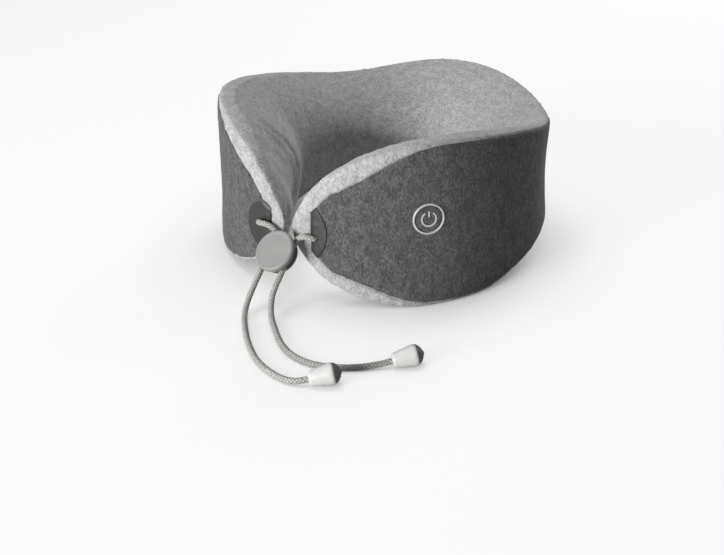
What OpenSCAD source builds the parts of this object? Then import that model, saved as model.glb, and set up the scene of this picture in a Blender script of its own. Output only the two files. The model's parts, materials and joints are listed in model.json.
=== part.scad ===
// Shiatsu neck massager: a padded collar with two turning massage heads in its back,
// a power button on the right arm and a spring cord lock that draws the two noses together.
// Millimetres. +Z is up, +Y is the back of the neck, +X is the arm with the button.
// The origin is on the surface that the collar stands on, under the middle of the collar.

/* [Collar plan] */
// Half of the collar's width at the outer wall
half_width = 137.5; // [120:1:170]
// Depth from the plan's centre to the back of the outer wall
back_depth = 137; // [120:1:165]
// Depth from the plan's centre to the front of the outer wall
front_depth = 133.5; // [115:1:160]
// Squareness of the plan: 2 is an ellipse
plan_power = 2.2; // [2:0.05:2.6]
// Sideways shift of the closure at the front
closure_shift = 5.5; // [0:0.5:12]
// Angle round the plan at which the nose starts to round off
nose_start = 164.4; // [155:0.2:168]
// Angle round the plan at which the nose ends
nose_end = 178.8; // [174:0.2:179]

/* [Collar sections: angle, top, bottom, thickness, ridge inset, waist pinch] */
// Middle of the back
section_back = [0, 126, 0, 70, 4, 3];
// Rear shoulders, raised at the bottom
section_shoulder = [50, 109, 26, 74, 5, 4];
// Middle of the arms
section_arm = [105, 130, 0, 68, 20, 3];
// Front of the arms
section_front = [135, 132, 0, 70, 17, 4];
// Where the arms start to taper
section_taper = [155, 120, 7, 50, 18, 3];
// Noses
section_nose = [168, 104, 19, 36, 12, 1];
// Tips of the noses
section_tip = [178, 90, 25, 34, 12, 0];
// Fullness of the neck side: a higher power is a sharper waist
inner_power = 1.9; // [1.3:0.05:2.2]
// Fullness of the neck side below its middle: a lower power is fuller
low_power = 0.8; // [0.5:0.1:1.9]
// Squareness of the outer wall: a lower power is squarer
outer_power = 0.22; // [0.18:0.01:0.5]
// Roundness of the noses
nose_power = 1.9; // [1.6:0.1:3]
// Inset of the nose's point from the outer wall, as a share of the thickness
tip_inset = 0.12; // [0.05:0.01:0.5]

/* [Cover] */
// Thickness of the cover fabric
cover_t = 1; // [0.6:0.1:1.2]
// Gap between cover and foam
cover_gap = 0.2; // [0.1:0.05:0.3]
// Thickness of the nose patches
patch_t = 0.8; // [0.5:0.1:1.2]
// Gap between a patch and the cover below it
patch_gap = 0.1; // [0.05:0.05:0.3]
// Patch on the left nose: radius of its arc, reach past its cord hole, height of the arc's centre
left_patch_arc = [20, 15, -2];
// The same for the patch on the right nose
right_patch_arc = [29, 10, 4];

/* [Power button] */
// Angle round the plan of the button's centre
button_angle = 130; // [112:1:140]
// Outer radius of the bezel ring
ring_r = 12.5; // [11:0.5:15]
// Width of the bezel ring
ring_w = 1.6; // [1.2:0.1:2.5]
// Height of the ring above the surface at the button's centre
ring_rise = 1; // [0.6:0.1:1.5]
// Travel of the key
key_travel = 0.8; // [0.4:0.1:1]
// Radius of the raised power symbol
icon_r = 6.2; // [5:0.1:7.5]
// Stroke width of the power symbol
icon_w = 1.4; // [1:0.1:2]
// Outer radius of the button's cup
cup_r = 17; // [16:0.5:20]
// Depth of the cup below the surface
cup_depth = 16; // [15:0.5:19]

/* [Cord lock] */
// Radius of the press disc
disc_r = 16.5; // [15.5:0.5:18]
// Thickness of the press disc
disc_t = 2.5; // [2.5:0.5:4]
// Outer radius of the lock's barrel
barrel_r = 14.5; // [14:0.5:15]
// Length of the lock's barrel
barrel_l = 9; // [9:0.5:13]
// Wall of the barrel
barrel_wall = 1.6; // [1.4:0.1:1.8]
// Travel of the disc when it is pressed
press_travel = 1.5; // [1:0.5:2]
// Distance from the lock's middle to each cord
cord_pitch = 9.5; // [8.5:0.5:9.5]

/* [Cords] */
// Diameter of the braided cord
cord_d = 4.5; // [4:0.1:5]
// Radius of a cap at its wide end
cap_r = 7.8; // [7:0.2:8.4]
// Radius of a cap at the cord
cap_small_r = 5; // [4.4:0.2:5.6]
// Length of a cap
cap_l = 18; // [15:1:22]
// Length of the dark plug at the cap's end
plug_l = 5; // [4:0.5:7]

/* [Massage gear] */
// Gear module of the worm and the worm wheels
gear_module = 1; // [0.9:0.05:1.05]
// Teeth on each worm wheel
wheel_teeth = 44; // [40:2:46]
// Pitch radius of the worm
worm_r = 5; // [4.5:0.1:5.5]
// Width of a worm wheel's teeth
tooth_face = 5; // [4:0.5:6]
// Angle by which each head leans towards the middle of the neck
head_lean = 18; // [12:1:22]
// Height of the heads' axes above the surface
head_height = 66; // [60:1:72]
// Radius of a head's disc
head_r = 20; // [18:0.5:21]
// Radius of a massage knob
knob_r = 7; // [6:0.5:7.5]
// Distance of the knobs from the head's axis
knob_orbit = 12; // [10:0.5:12.5]
// Knobs on each head
knob_count = 3; // [2:1:4]
// Height of a knob above the head's disc
knob_h = 12.5; // [10:0.5:14]
// Radius of an output shaft
shaft_r = 2.5; // [2:0.25:3]
// Radial running clearance of the shafts
running_gap = 0.05; // [0.02:0.01:0.08]
// Wall of the gearbox casing
casing_wall = 2; // [1.6:0.2:2.5]

/* [Motor] */
// Radius of the motor's can
motor_r = 10; // [9:0.2:11]
// Length of the motor's can
motor_l = 22; // [20:0.5:26]
// Radius of the motor's shaft
motor_shaft_r = 1; // [0.8:0.1:1.5]

/* [Electronics] */
// Angle round the plan of the control box
box_angle = 58; // [52:1:70]
// Length of the control box along the arm
box_l = 56; // [48:1:60]
// Thickness of the control box
box_t = 27; // [24:1:30]
// Height of the control box
box_h = 38; // [34:1:42]
// Angle round the plan of the charging socket
socket_angle = 34; // [28:1:40]
// Height of the charging socket above the surface
socket_height = 62; // [50:1:70]

/* [Hidden] */

$fn = 64;
eps = 0.01;

// ---------- surface of the collar ----------
stations = [section_back, section_shoulder, section_arm, section_front, section_taper,
    section_nose, section_tip];

function spow(x, e) = sign(x) * pow(abs(x), e);
function clamp(x, lo, hi) = min(max(x, lo), hi);
function station_slope(k) = k == 0 ? stations[0] * 0
    : let (a = stations[max(k - 1, 0)], b = stations[min(k + 1, len(stations) - 1)])
      (b - a) / (b[0] - a[0]);
// The sections blend along the arm on a smooth cubic
function section_at(a) = let (
        x = clamp(a, 0, stations[len(stations) - 1][0]),
        k = max([for (i = [0:len(stations) - 2]) if (stations[i][0] <= x) i]),
        p = stations[k], q = stations[k + 1], h = q[0] - p[0], u = (x - p[0]) / h)
    (2 * u * u * u - 3 * u * u + 1) * p + (u * u * u - 2 * u * u + u) * h * station_slope(k)
    + (3 * u * u - 2 * u * u * u) * q + (u * u * u - u * u) * h * station_slope(k + 1);

// A point of the outer surface: phi runs round the plan from the back, v round the section
// from the neck side (0) over the top (90) and the outer wall (180) to the bottom (270)
function raw_point(phi, v) = let (
        a = abs(phi), s = section_at(a), low = max(s[2], 0), zc = (s[1] + low) / 2,
        hh = (s[1] - low) / 2, cv = cos(v), c = abs(cv),
        r0 = cv >= 0 ? s[4] + (s[3] - s[4]) * pow(c, sin(v) < 0 ? low_power : inner_power)
            : s[4] - s[4] * pow(c, outer_power) + s[5] * c * c,
        k = clamp((a - nose_start) / (nose_end - nose_start), 0, 1),
        shrink = pow(1 - pow(k, nose_power), 1 / nose_power),
        rc = s[3] * tip_inset, r = rc + (r0 - rc) * shrink, z = zc + hh * sin(v) * shrink,
        ry = a < 90 ? back_depth : front_depth,
        px = half_width * spow(sin(phi), 2 / plan_power), py = ry * spow(cos(phi), 2 / plan_power),
        gx = spow(sin(phi), 2 - 2 / plan_power) / half_width,
        gy = spow(cos(phi), 2 - 2 / plan_power) / ry, g = norm([gx, gy]),
        w = clamp((a - 100) / 80, 0, 1), side = closure_shift * w * w * (3 - 2 * w))
    [px + side - gx / g * r, py - gy / g * r, z];

// Rings of the grid: even steps along the arms, closer steps over the noses
arm_steps = 20;
nose_steps = 6;
half_rings = [for (i = [1:arm_steps]) nose_start * i / arm_steps,
    for (i = [1:nose_steps - 1]) nose_start + (nose_end - nose_start) * sin(90 * i / nose_steps)];
ring_angles = [for (i = [len(half_rings) - 1:-1:0]) -half_rings[i], 0, each half_rings];
ring_count = len(ring_angles);

// Lines of the grid: the two panel seams are lines, and the lines between them are even
outer_lines = 12;
inner_lines = 16;
line_count = outer_lines + inner_lines;
function blend(x, x0, x1) = let (t = clamp((x - x0) / (x1 - x0), 0, 1)) t * t * (3 - 2 * t);
// The top seam runs along the outer edge of the rim and drops down the nose
function seam_top(a) = 98 + 8 * blend(a, 40, 95) + 36 * blend(a, 122, 168) + 16 * blend(a, 164, 174);
// The bottom seam hides below the collar and comes up on the nose, less so on the left
left_seam_rise = 2;
right_seam_rise = 28;
function seam_bottom(a, rise) = 262 - 6 * blend(a, 40, 95) - rise * blend(a, 122, 160)
    - 18 * blend(a, 164, 174);
function line_angle(phi, j) = let (
        top = seam_top(abs(phi)),
        bottom = seam_bottom(abs(phi), phi < 0 ? left_seam_rise : right_seam_rise))
    j <= outer_lines ? top + (bottom - top) * j / outer_lines
        : bottom + (360 + top - bottom) * (j - outer_lines) / inner_lines;

raw_grid = [for (phi = ring_angles) [for (j = [0:line_count - 1])
    raw_point(phi, line_angle(phi, j))]];
raw_poles = [raw_point(-nose_end, 0), raw_point(nose_end, 0)];
raw_y = [for (ring = raw_grid) for (p = ring) p.y];
plan_shift = [0, -(max(raw_y) + min(raw_y)) / 2, 0];
function skin(phi, v) = raw_point(phi, v) + plan_shift;

function wrap(j) = (j + line_count) % line_count;
function grid_at(i, j) = i < 0 ? raw_poles[0] : i >= ring_count ? raw_poles[1] : raw_grid[i][wrap(j)];
function unit(p) = p / norm(p);
function grid_normal(i, j) = unit(cross(grid_at(i + 1, j) - grid_at(i - 1, j),
    grid_at(i, j + 1) - grid_at(i, j - 1)));
pole_normals = [for (s = [-1, 1]) unit([-s, -0.35, 0])];

// All grid points at a depth below the surface, with the two nose points last
function layer(depth) = [
    for (i = [0:ring_count - 1]) for (j = [0:line_count - 1])
        raw_grid[i][j] + plan_shift - depth * grid_normal(i, j),
    for (k = [0, 1]) raw_poles[k] + plan_shift - depth * pole_normals[k]];
layer_size = ring_count * line_count + 2;

// Point number of ring i, line j; rings -1 and ring_count are the nose points
function id(i, j) = i < 0 ? ring_count * line_count : i >= ring_count ? ring_count * line_count + 1
    : i * line_count + wrap(j);
// A cell between two rings and two lines, as triangles
function cell_faces(i, j, base, flip) = let (
        a = base + id(i, j), b = base + id(i + 1, j), c = base + id(i + 1, j + 1), d = base + id(i, j + 1),
        tris = a == d ? [[a, b, c]] : b == c ? [[a, b, d]] : [[a, b, c], [a, c, d]])
    flip ? [for (t = tris) [t[2], t[1], t[0]]] : tris;
// Both panels at a seam split its walls the same way
function wall(a, b) = let (c = a + layer_size, d = b + layer_size)
    a < b ? [[a, b, d], [a, d, c]] : [[a, b, c], [b, d, c]];
// Every cell that a panel doesn't share with its neighbour gets an edge wall
function shell_faces(used) = [
    for (i = [-1:ring_count - 1]) for (j = [0:line_count - 1]) if (used[i + 1][j]) each concat(
        cell_faces(i, j, 0, true), cell_faces(i, j, layer_size, false),
        i < 0 || used[i][j] ? [] : wall(id(i, j + 1), id(i, j)),
        i == ring_count - 1 || used[i + 2][j] ? [] : wall(id(i + 1, j), id(i + 1, j + 1)),
        used[i + 1][wrap(j - 1)] ? [] : wall(id(i, j), id(i + 1, j)),
        used[i + 1][wrap(j + 1)] ? [] : wall(id(i + 1, j + 1), id(i, j + 1)))];
module shell(used, top, bottom) {
    polyhedron(concat(layer(top), layer(bottom)), shell_faces(used), convexity = 8);
}
module solid_skin(depth) {
    polyhedron(layer(depth), [for (i = [-1:ring_count - 1]) for (j = [0:line_count - 1])
        each cell_faces(i, j, 0, true)], convexity = 8);
}

// The outer panel stops short of the nose points, and reaches further round the left nose
left_end = nose_steps - 4;
right_end = ring_count - 1 - (nose_steps - 3);
function is_outer(i, j) = j < outer_lines && i >= left_end && i < right_end;
outer_cells = [for (i = [-1:ring_count - 1]) [for (j = [0:line_count - 1]) is_outer(i, j)]];
inner_cells = [for (row = outer_cells) [for (c = row) !c]];
patch_rings = 7;
function patch_cells(side) = [for (i = [-1:ring_count - 1]) [for (j = [0:line_count - 1])
    is_outer(i, j) && j > 0 && j < outer_lines - 1
    && (side < 0 ? i < left_end + patch_rings : i >= right_end - patch_rings)]];

// ---------- frames that the pieces sit in ----------
// Places children at a point with their +Z along a direction
module along(point, dir) {
    translate(point) rotate([0, acos(dir.z / norm(dir)), atan2(dir.y, dir.x)]) children();
}
function local(point, dir, p) = let (t = acos(dir.z / norm(dir)), f = atan2(dir.y, dir.x),
        q = [cos(t) * p.x + sin(t) * p.z, p.y, -sin(t) * p.x + cos(t) * p.z])
    point + [cos(f) * q.x - sin(f) * q.y, sin(f) * q.x + cos(f) * q.y, q.z];
function skin_normal(phi, v) = unit(cross(skin(phi + 1, v) - skin(phi - 1, v),
    skin(phi, v + 2) - skin(phi, v - 2)));
module tube(r_out, r_in, z0, z1) {
    translate([0, 0, z0]) difference() {
        cylinder(r = r_out, h = z1 - z0);
        translate([0, 0, -1]) cylinder(r = r_in, h = z1 - z0 + 2);
    }
}
module disc(r, z0, z1) {
    translate([0, 0, z0]) cylinder(r = r, h = z1 - z0);
}
module slab(size, z0, z1) {
    translate([-size.x / 2, -size.y / 2, z0]) cube([size.x, size.y, z1 - z0]);
}

// ---------- cord lock ----------
lock_point = [9, -154, 45.8];     // middle of the disc's face
lock_dir = [0, -0.743, 0.669];   // the way the disc faces
press_gap = 0.3;                 // left between disc and barrel when pressed home
skirt_l = 0.15;                   // the disc's skirt laps the barrel by this much
skirt_gap = 0.3;                 // radial gap inside the skirt
barrel_top = -(disc_t + press_travel + press_gap);
barrel_bottom = barrel_top - barrel_l;
cord_r = cord_d / 2;
cord_gap = 0.4;                  // radial clearance of a cord in the lock
channel_z = (barrel_top + barrel_bottom) / 2 - 0.1;
plunger_gap = 0.08;
floor_t = 1.2;
spring_r = 4;
spring_wire = 0.4;
spring_turns = 4;
plunger_r = barrel_r - barrel_wall - plunger_gap;
plunger_end = barrel_bottom + floor_t + press_travel + 0.4;
spring_seat = plunger_end + 4;   // roof of the plunger's spring pocket
module in_lock() {
    along(lock_point, lock_dir) children();
}
module round_channels(r) {
    for (s = [-1, 1]) translate([-barrel_r - 1, s * cord_pitch, channel_z])
        rotate([0, 90, 0]) cylinder(r = r, h = 2 * barrel_r + 2);
}
module lock_body() {
    color("dimgray") in_lock() difference() {
        disc(barrel_r, barrel_bottom, barrel_top);
        disc(barrel_r - barrel_wall, barrel_bottom + floor_t, barrel_top + 1);
        round_channels(cord_r + cord_gap);
    }
}
// The plunger's holes are long enough for the cords to stay clear over the whole press
module lock_plunger() {
    color("dimgray") in_lock() difference() {
        disc(plunger_r, plunger_end, -disc_t);
        disc(spring_r + spring_wire + 0.3, plunger_end - 1, spring_seat);
        for (s = [-1, 1]) {
            for (z = [channel_z, channel_z + press_travel])
                translate([-barrel_r - 1, s * cord_pitch, z]) rotate([0, 90, 0])
                    cylinder(r = cord_r + cord_gap, h = 2 * barrel_r + 2);
            translate([-barrel_r - 1, s * cord_pitch - cord_r - cord_gap, channel_z])
                cube([2 * barrel_r + 2, 2 * (cord_r + cord_gap), press_travel]);
        }
    }
}
module lock_disc() {
    color("silver") in_lock() rotate_extrude() polygon([
        [0, 0], [disc_r - 2, 0], [disc_r - 0.6, -0.6], [disc_r, -2],
        [disc_r, barrel_top - skirt_l], [barrel_r + skirt_gap, barrel_top - skirt_l],
        [barrel_r + skirt_gap, -disc_t], [0, -disc_t]]);
}
function helix(r, z0, z1, turns, steps) = [for (k = [0:turns * steps])
    [r * cos(360 * k / steps), r * sin(360 * k / steps), z0 + (z1 - z0) * k / (turns * steps)]];
module lock_spring() {
    color("lightgray") in_lock() swept_tube(helix(spring_r, barrel_bottom + floor_t + spring_wire + 0.05,
        spring_seat - spring_wire - 0.05, spring_turns, 12), spring_wire, 6);
}

// ---------- cords ----------
// A tube along a list of points: each ring lies across the path, carried on from the one before
function tangent(p, i) = unit(p[min(i + 1, len(p) - 1)] - p[max(i - 1, 0)]);
function carried(n, t) = unit(n - (n * t) * t);
function normals(p, i = 0, n = undef) = let (t = tangent(p, i),
        m = is_undef(n) ? unit(cross(t, abs(t.x) < 0.9 ? [1, 0, 0] : [0, 1, 0])) : carried(n, t))
    i == len(p) - 1 ? [m] : concat([m], normals(p, i + 1, m));
module swept_tube(p, r, sides) {
    n = normals(p);
    points = [for (i = [0:len(p) - 1]) let (b = cross(tangent(p, i), n[i]))
        for (k = [0:sides - 1]) p[i] + r * (cos(360 * k / sides) * n[i] + sin(360 * k / sides) * b)];
    last = (len(p) - 1) * sides;
    polyhedron(points, concat(
        [[for (k = [0:sides - 1]) k], [for (k = [sides - 1:-1:0]) last + k]],
        [for (i = [0:len(p) - 2]) for (k = [0:sides - 1]) let (a = i * sides + k,
            b = i * sides + (k + 1) % sides) each [[a, a + sides, b + sides], [a, b + sides, b]]]),
        convexity = 8);
}
cord_sides = 10;
left_route = [[-21.4, -128.5, 54], [-22.1, -133.9, 54], [-20.3, -136.6, 55.4], [-17.5, -138.6, 56.3],
    [-14.2, -138.9, 56.7], [-10.6, -138.4, 56.4], [-7, -137.9, 55.2], [-3.8, -137.9, 53.2],
    [-1.4, -138.5, 50.8], [-0.5, -140.1, 48], [-0.5, -147.4, 39.9], [-0.5, -154.7, 31.7],
    [-0.5, -162.8, 22.8], [-0.3, -170, 14.7], [0.8, -176, 8.7], [3.6, -182, 4.5], [8.5, -188.5, 2.6],
    [16, -196.5, 2.3], [25, -205.5, 2.3], [35, -214.5, 2.3], [46.5, -223.5, 2.3], [58, -231, 2.3],
    [69, -236, 2.3], [79, -238.8, 2.3], [88, -240.2, 2.4], [96, -239.9, 2.9], [102.6, -237.6, 3.9],
    [107, -233.7, 5.1]];
right_route = [[32.4, -128.5, 54], [33.1, -133.9, 54], [31.4, -136.2, 54.9], [29, -137.6, 55.3],
    [26.2, -138.1, 55.2], [23.5, -138.1, 54.3], [21, -138.2, 52.7], [19.3, -138.8, 50.6],
    [18.5, -140.1, 48], [18.5, -147.4, 39.9], [18.5, -154.7, 31.7], [18.5, -162.8, 22.8],
    [19, -168, 16], [20.6, -171.8, 9.7], [24.2, -176, 4.9], [30, -181.2, 2.6], [38, -188, 2.3],
    [47.5, -196, 2.3], [58, -203.6, 2.3], [69, -209.3, 2.3], [80.5, -212.3, 2.3], [92, -212.4, 2.3],
    [103, -209.6, 2.3], [113.5, -203.8, 2.3], [123, -196.4, 2.5], [130, -189.5, 3.2],
    [134.6, -184.6, 4], [138.6, -180.2, 5.1]];
module left_cord() {
    color("gray") swept_tube(left_route, cord_r, cord_sides);
}
module right_cord() {
    color("gray") swept_tube(right_route, cord_r, cord_sides);
}
// A cap starts where its cord ends, and lies on its rim and its small end
function route_end(p) = p[len(p) - 1];
function route_dir(p) = unit(p[len(p) - 1] - p[len(p) - 2]);
module on_cord(p) {
    along(route_end(p), route_dir(p)) children();
}
module cord_cap(p) {
    color("lightgray") on_cord(p) rotate_extrude() polygon([[0, 0], [cap_small_r - 0.5, 0],
        [cap_small_r, 0.5], [cap_r, cap_l - 0.8], [cap_r - 0.8, cap_l], [0, cap_l]]);
}
module cap_plug(p) {
    color("dimgray") on_cord(p) rotate_extrude() polygon([[0, cap_l], [cap_r - 0.6, cap_l],
        [cap_r - 0.8, cap_l + 1], [2, cap_l + plug_l - 0.8], [1.4, cap_l + plug_l], [0, cap_l + plug_l]]);
}
module left_cord_cap() {
    cord_cap(left_route);
}
module right_cord_cap() {
    cord_cap(right_route);
}
module left_cap_plug() {
    cap_plug(left_route);
}
module right_cap_plug() {
    cap_plug(right_route);
}

// ---------- cover and foam ----------
eyelet_gap = 0.6;                // radial clearance of a cord in its hole
eyelet_r = cord_r + eyelet_gap;
stop_r = 6;
stop_t = 4;
function cord_dir(p) = unit(p[1] - p[0]);
// Placed at a cord's exit, with +Z the way that the cord comes out
module at_exit(p) {
    along(p[0], cord_dir(p)) children();
}
module cord_holes() {
    for (p = [left_route, right_route]) at_exit(p) disc(eyelet_r, 0, 12);
}
module outer_panel() {
    color("dimgray") difference() {
        shell(outer_cells, 0, cover_t);
        at_button() disc(ring_r + 0.15, -6, 6);
        at_socket() slab(socket_size + [0.4, 0.4], -6, 6);
        cord_holes();
    }
}
module inner_panel() {
    color("silver") shell(inner_cells, 0, cover_t);
}
module patch(side, p, arc) {
    color("black") difference() {
        intersection() {
            shell(patch_cells(side), -patch_gap - patch_t, -patch_gap);
            translate([p[0].x + side * (arc[1] - arc[0]), p[0].y, p[0].z + arc[2]])
                rotate([90, 0, 0]) cylinder(r = arc[0], h = 80, center = true);
        }
        cord_holes();
    }
}
module left_patch() {
    patch(-1, left_route, left_patch_arc);
}
module right_patch() {
    patch(1, right_route, right_patch_arc);
}
// A stop holds the cord's inner end behind the cover
module cord_stop(p) {
    color("black") at_exit(p) disc(stop_r, -stop_t, 0);
}
module left_cord_stop() {
    cord_stop(left_route);
}
module right_cord_stop() {
    cord_stop(right_route);
}
pocket_gap = 0.4;
// The pockets are moulded in the foam, so round ones need few facets
module foam_core() {
    $fn = 20;
    color("khaki") difference() {
        solid_skin(cover_t + cover_gap);
        for (p = [left_route, right_route]) at_exit(p) {
            disc(eyelet_r, 0, 12);
            disc(stop_r + pocket_gap, -stop_t - pocket_gap, pocket_gap);
        }
        for (side = [-1, 1]) in_head(side) {
            disc(casing_r + boss_r + pocket_gap, rear_end - pocket_gap, front_end + pocket_gap);
            disc(head_r + 2, 0, knob_top + 20);
        }
        translate(worm_axis) disc(motor_r + pocket_gap, motor_bottom - pocket_gap, motor_top + 1);
        translate(worm_axis) disc(flange_r + pocket_gap, motor_top - pocket_gap,
            head_height + column_top + pocket_gap);
        at_button() disc(cup_r + pocket_gap, -cup_depth - pocket_gap, 6);
        in_box() slab([box_l, box_t] + 2 * [pocket_gap, pocket_gap], -box_h / 2 - pocket_gap,
            box_h / 2 + box_lid_t + screw_head_t + pocket_gap);
        at_socket() slab(socket_size + 2 * [pocket_gap, pocket_gap], -socket_l - pocket_gap, 6);
        for (w = wires) for (i = [0:len(w) - 2]) hull() for (q = [w[i], w[i + 1]])
            translate(q) sphere(r = wire_r + wire_gap, $fn = 8);
    }
}

// ---------- power button ----------
button_section_angle = 174;      // the button sits a little above the arm's middle
button_point = skin(button_angle, button_section_angle);
button_dir = skin_normal(button_angle, button_section_angle);
cup_wall = 2;
cup_top = -4;                    // rim of the cup, below the curved cover
key_gap = 0.15;
key_r = ring_r - ring_w - key_gap;
key_bottom = -5.5;
key_face = -0.4;
cover_top = 0.5;
icon_top = 0.9;
stem_r = 2.5;
board_z = -cup_depth + cup_wall + 1.4;
board_t = 1.6;
switch_z = board_z + board_t;
switch_top = switch_z + 3.3;
switch_tip = switch_top + 0.5;
stem_end = switch_tip + key_travel + 0.1;
module at_button() {
    along(button_point, button_dir) children();
}
module button_ring() {
    color("silver") at_button() {
        tube(ring_r, ring_r - ring_w, cup_top, ring_rise);
        tube(cup_r - 0.5, ring_r - eps, cup_top, cup_top + 1);
    }
}
module button_key() {
    color("dimgray") at_button() {
        disc(key_r, key_bottom, key_face);
        disc(stem_r, stem_end, key_bottom + eps);
    }
}
module button_cover() {
    color("dimgray") at_button() disc(key_r, key_face, cover_top);
}
// A broken ring with a bar in its gap; -X is up on the button's face
module power_icon() {
    gap_angle = 32;
    color("silver") at_button() translate([0, 0, cover_top]) {
        rotate([0, 0, 180 + gap_angle]) rotate_extrude(angle = 360 - 2 * gap_angle)
            translate([icon_r - icon_w, 0]) square([icon_w, icon_top - cover_top]);
        translate([-icon_r, -icon_w / 2, 0]) cube([icon_r - 0.8, icon_w, icon_top - cover_top]);
    }
}
module button_dome() {
    color("whitesmoke") at_button() tube(8, 5, switch_z, key_bottom);
}
module button_housing() {
    color("gray") at_button() {
        difference() {
            disc(cup_r, -cup_depth, cup_top);
            disc(cup_r - cup_wall, -cup_depth + cup_wall, cup_top + 1);
        }
        tube(cup_r - cup_wall + eps, cup_r - cup_wall - 3, -cup_depth + cup_wall - eps, board_z);
    }
}
module switch_board() {
    color("green") at_button() disc(cup_r - cup_wall - 0.3, board_z, switch_z);
}
module tact_switch() {
    color("black") at_button() {
        slab([6, 6], switch_z, switch_top);
        disc(1.7, switch_top - eps, switch_tip);
    }
}

// ---------- massage gear ----------
wheel_r = gear_module * wheel_teeth / 2;
tooth_pitch = PI * gear_module;
centre_distance = worm_r + wheel_r;
backlash = 0.3;
half_tooth = (tooth_pitch / 2 - backlash) / 2;
addendum = 0.9 * gear_module;
dedendum = 1.2 * gear_module;
flank = tan(20);
knob_depth = 8;                  // cover surface to knob tip at the middle of the back
half_face = tooth_face / 2;
hub_r = 7;
hub_half = half_face + 2;
cavity_half = hub_half + 0.5;
casing_half = cavity_half + casing_wall;
bush_r = 4;
bush_end = cavity_half + 5;      // how far the bushes reach along the shaft
front_end = bush_end;
rear_end = -bush_end - 1;
boss_shaft_r = bush_r + 2.5;
cavity_r = wheel_r + addendum + 1;
casing_r = cavity_r + casing_wall;
boss_r = 3.5;
casing_screw_r = 1.4;
screw_gap = 0.05;
screw_head_t = 1.6;
head_z = front_end + 4;          // rear face of a head's disc
head_t = 3.5;
head_face = head_z + head_t;
knob_top = head_face + knob_h;
worm_y = skin(0, 0).y + knob_depth + knob_top * cos(head_lean) + centre_distance * sin(head_lean);
worm_axis = [0, worm_y, 0];
function head_dir(side) = [-side * sin(head_lean), -cos(head_lean), 0];
function head_point(side) = [side * centre_distance * cos(head_lean),
    worm_y - centre_distance * sin(head_lean), head_height];
module in_head(side) {
    along(head_point(side), head_dir(side)) children();
}
// Thread and gaps are in step at rest: the thread's height at the left wheel sets its turn
left_step = (tooth_pitch * (180 + 2 * head_lean) / 360) % tooth_pitch;
module worm_wheel(side) {
    tooth_angle = 360 / wheel_teeth;
    turn = side > 0 ? -90 : 90 + left_step / wheel_r * 180 / PI;
    deg = 180 / PI;
    color("ivory") in_head(side) difference() {
        union() {
            translate([0, 0, -half_face]) linear_extrude(tooth_face) polygon([
                for (k = [0:wheel_teeth - 1]) for (c = [[-1, -dedendum], [-1, addendum], [1, addendum],
                        [1, -dedendum]])
                    let (w = half_tooth - c[1] * flank, r = wheel_r + c[1],
                        a = turn + (k + 0.5) * tooth_angle + c[0] * w / r * deg)
                    [r * cos(a), r * sin(a)]]);
            disc(hub_r, -hub_half, hub_half);
        }
        disc(shaft_r + eps, -hub_half - 1, hub_half + 1);
    }
}
module left_worm_wheel() {
    worm_wheel(-1);
}
module right_worm_wheel() {
    worm_wheel(1);
}
worm_half = 7.4;
worm_sides = 24;
worm_rings = 54;
function thread_r(z, a) = let (
        t = (z - tooth_pitch * (a + head_lean) / 360) / tooth_pitch, d = abs(t - round(t)) * tooth_pitch,
        rise = (half_tooth - d) / flank)
    worm_r + clamp(rise, -dedendum, addendum);
module worm() {
    bore_r = (motor_shaft_r + 0.03) / cos(180 / worm_sides);
    rows = [for (i = [0:worm_rings]) let (z = -worm_half + 2 * worm_half * i / worm_rings)
            [for (k = [0:worm_sides - 1]) let (a = 360 * k / worm_sides)
                [thread_r(z, a) * cos(a), thread_r(z, a) * sin(a), z]],
        for (z = [worm_half, -worm_half]) [for (k = [0:worm_sides - 1])
            let (a = 360 * k / worm_sides) [bore_r * cos(a), bore_r * sin(a), z]]];
    n = len(rows);
    color("goldenrod") translate(worm_axis + [0, 0, head_height]) polyhedron(
        [for (row = rows) each row],
        [for (i = [0:n - 1]) for (k = [0:worm_sides - 1]) let (
                j = (i + 1) % n, m = (k + 1) % worm_sides, a = i * worm_sides + k,
                b = j * worm_sides + k, c = j * worm_sides + m, d = i * worm_sides + m)
            each [[a, b, c], [a, c, d]]], convexity = 10);
}
module output_shaft(side) {
    color("lightsteelblue") in_head(side) difference() {
        disc(shaft_r, rear_end + 1.3, head_face);
        disc(head_screw_r + screw_gap, head_z - 4, head_face + 1);
    }
}
module left_output_shaft() {
    output_shaft(-1);
}
module right_output_shaft() {
    output_shaft(1);
}
module shaft_bushes() {
    color("peru") for (side = [-1, 1]) in_head(side) {
        tube(bush_r, shaft_r + running_gap, cavity_half, bush_end);
        tube(bush_r, shaft_r + running_gap, -bush_end, -cavity_half);
    }
}
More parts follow.
